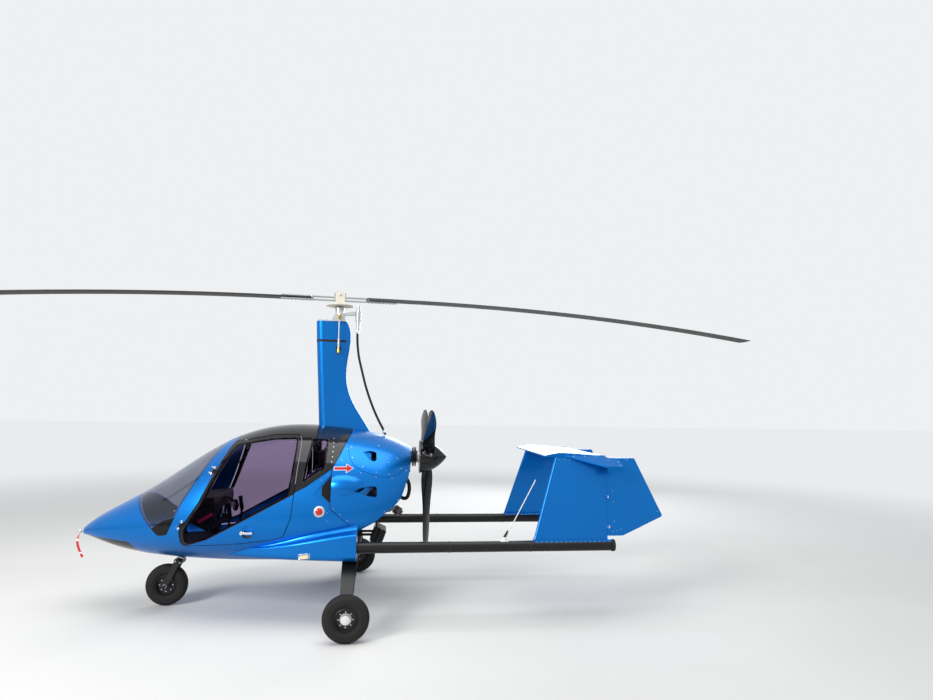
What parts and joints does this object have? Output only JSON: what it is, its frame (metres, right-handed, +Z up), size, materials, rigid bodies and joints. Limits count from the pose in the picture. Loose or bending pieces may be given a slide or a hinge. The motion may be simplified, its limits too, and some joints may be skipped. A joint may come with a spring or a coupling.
{
  "type": "two-seat enclosed gyrocopter",
  "caption": "Enclosed side-by-side gyrocopter with pusher propeller, teetering rotor on a faired mast, twin booms and fins, tricycle gear and hinged doors",
  "frame": {"origin": "on the ground under the rotor hub", "axes": "+X aft, +Y starboard, +Z up; nose towards -X"},
  "size_m": [8.757, 2.2542, 2.8709],
  "materials": {
    "body_blue": "gloss",
    "roof_black": "gloss",
    "smoke_glazing": "gloss",
    "black_composite": "satin",
    "chrome_fittings": "gloss",
    "cabin_black": "matte",
    "seat_cover": "matte",
    "engine_casting": "satin",
    "black_steel": "satin",
    "exhaust_steel": "satin",
    "bare_aluminium": "satin",
    "shaft_rubber": "satin",
    "black_tube": "satin",
    "antenna_white": "satin",
    "cap_red": "gloss",
    "lamp_lens": "gloss",
    "ribbon_red": "matte",
    "tower_cream": "satin",
    "blade_skin": "satin",
    "tyre_rubber": "matte",
    "tinted_glazing": "gloss"
  },
  "bodies": {
    "airframe": {"cabin_tub": "body_blue", "cabin_roof": "roof_black", "windscreen": "smoke_glazing", "chin_lens": "smoke_glazing", "quarter_windows": "smoke_glazing", "firewall": "black_composite", "door_hinges": "chrome_fittings", "cabin_floor": "cabin_black", "seats": "seat_cover", "instrument_panel": "cabin_black", "control_sticks": "cabin_black", "engine_cowling": "body_blue", "engine_hatch": "body_blue", "engine_block": "engine_casting", "carburettors": "engine_casting", "engine_gearbox": "engine_casting", "engine_mount": "black_steel", "oil_cooler": "engine_casting", "exhaust": "exhaust_steel", "sponson_left": "body_blue", "sponson_right": "body_blue", "mast_fairing": "body_blue", "rotor_head": "bare_aluminium", "prerotator": "bare_aluminium", "prerotator_shaft": "shaft_rubber", "control_rods": "bare_aluminium", "main_gear_bow": "black_composite", "axles": "black_steel", "nose_leg_collar": "black_steel", "boom_left": "black_tube", "boom_right": "black_tube", "fin_left": "body_blue", "fin_right": "body_blue", "stabiliser": "body_blue", "antenna": "antenna_white", "fuel_cap": "cap_red", "nav_lights": "lamp_lens", "pitot_tube": "bare_aluminium", "pitot_ribbon": "ribbon_red"},
    "rotor_mast": {"rotor_tower": "tower_cream"},
    "rotor": {"hub_bar": "bare_aluminium", "rotor_blades": "blade_skin"},
    "propeller": {"propeller_hub": "bare_aluminium", "propeller_spinner": "black_composite", "propeller_blades": "black_composite"},
    "nose_fork": {"nose_fork": "black_steel"},
    "nose_wheel": {"nose_tyre": "tyre_rubber", "nose_rim": "black_steel"},
    "left_wheel": {"left_tyre": "tyre_rubber", "left_rim": "black_steel"},
    "right_wheel": {"right_tyre": "tyre_rubber", "right_rim": "black_steel"},
    "left_door": {"left_door": "body_blue", "left_door_window": "tinted_glazing"},
    "right_door": {"right_door": "body_blue", "right_door_window": "tinted_glazing"},
    "left_rudder": {"left_rudder": "body_blue"},
    "right_rudder": {"right_rudder": "body_blue"}
  },
  "joints": [
    {"name": "rotor_spin", "type": "hinge", "parent": "airframe", "child": "rotor_mast", "pos_m": [0, 0, 2.735], "axis": [0, 0, 1], "continuous": true},
    {"name": "rotor_teeter", "type": "hinge", "parent": "rotor_mast", "child": "rotor", "pos_m": [0, 0, 2.842], "axis": [-0.1132, 0.9936, 0], "range_deg": [-8, 8]},
    {"name": "propeller_spin", "type": "hinge", "parent": "airframe", "child": "propeller", "pos_m": [0.862, 0, 1.32], "axis": [1, 0, 0], "continuous": true},
    {"name": "nose_steer", "type": "hinge", "parent": "airframe", "child": "nose_fork", "pos_m": [-1.335, 0, 0.4], "axis": [0.342, 0, 0.9397], "range_deg": [-30, 30]},
    {"name": "nose_wheel_spin", "type": "hinge", "parent": "nose_fork", "child": "nose_wheel", "pos_m": [-1.44, 0, 0.18], "axis": [0, 1, 0], "continuous": true},
    {"name": "left_wheel_spin", "type": "hinge", "parent": "airframe", "child": "left_wheel", "pos_m": [0.2, -1.077, 0.18], "axis": [0, 1, 0], "continuous": true},
    {"name": "right_wheel_spin", "type": "hinge", "parent": "airframe", "child": "right_wheel", "pos_m": [0.2, 1.077, 0.18], "axis": [0, 1, 0], "continuous": true},
    {"name": "left_door_open", "type": "hinge", "parent": "airframe", "child": "left_door", "pos_m": [-1.194, -0.556, 0.793], "axis": [-0.4428, -0.1739, -0.8796], "range_deg": [0, 75]},
    {"name": "right_door_open", "type": "hinge", "parent": "airframe", "child": "right_door", "pos_m": [-1.194, 0.556, 0.793], "axis": [0.4428, -0.1739, 0.8796], "range_deg": [0, 75]},
    {"name": "left_rudder_swing", "type": "hinge", "parent": "airframe", "child": "left_rudder", "pos_m": [2.40201, -0.65809, 1], "axis": [0.0214, 0.1552, 0.9877], "range_deg": [-25, 25]},
    {"name": "right_rudder_swing", "type": "hinge", "parent": "airframe", "child": "right_rudder", "pos_m": [2.40201, 0.65809, 1], "axis": [0.0214, -0.1552, 0.9877], "range_deg": [-25, 25]}
  ],
  "couplings": [
    {"joint": "right_rudder_swing", "follows": "left_rudder_swing", "ratio": 1}
  ]
}
